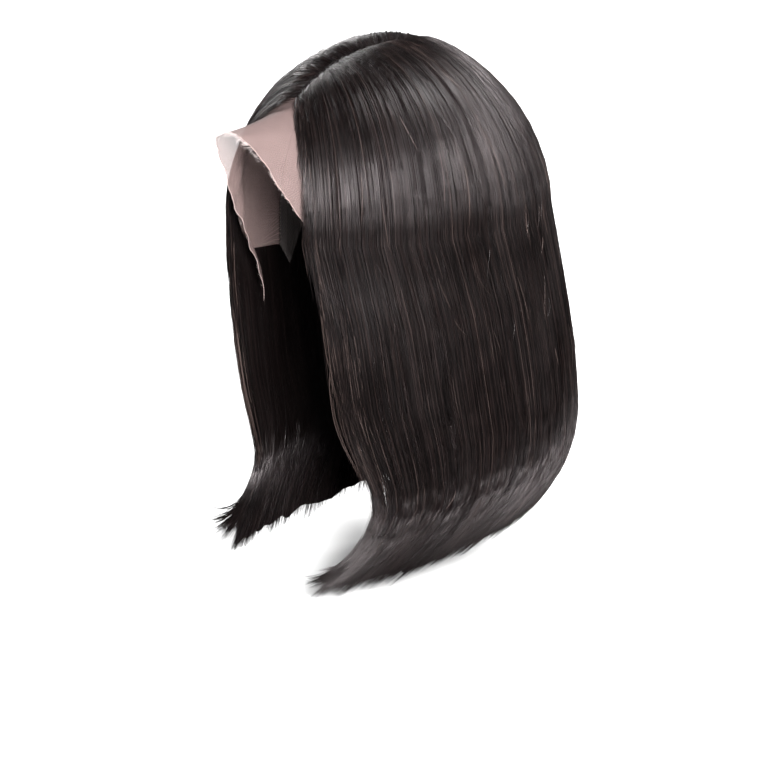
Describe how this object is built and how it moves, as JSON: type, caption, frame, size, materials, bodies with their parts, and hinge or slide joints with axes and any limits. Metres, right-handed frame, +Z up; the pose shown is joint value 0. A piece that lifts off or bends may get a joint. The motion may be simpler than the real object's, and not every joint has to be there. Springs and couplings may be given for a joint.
{
  "type": "bob wig",
  "caption": "Shoulder-length straight bob wig, middle part, hair on a lace-front cap, ends curled under, uncut lace margin at the front.",
  "frame": {"origin": "the seat: the inside of the cap at the crown, on the middle plane", "axes": "+Z up, the wig faces -Y, its left side is at +X"},
  "size_m": [0.1991, 0.2676, 0.3577],
  "materials": {
    "cap_net": "black stretch net with sewn wefts",
    "lace": "fine translucent net, light brown",
    "hair": "straight, glossy, brown-black"
  },
  "bodies": {
    "root": {"cap": "cap_net", "lace_front": "lace", "hair_left_front": "hair", "hair_left_temple": "hair", "hair_left_side": "hair", "hair_left_rear": "hair", "hair_left_back": "hair", "hair_right_front": "hair", "hair_right_temple": "hair", "hair_right_side": "hair", "hair_right_rear": "hair", "hair_right_back": "hair"}
  },
  "joints": []
}
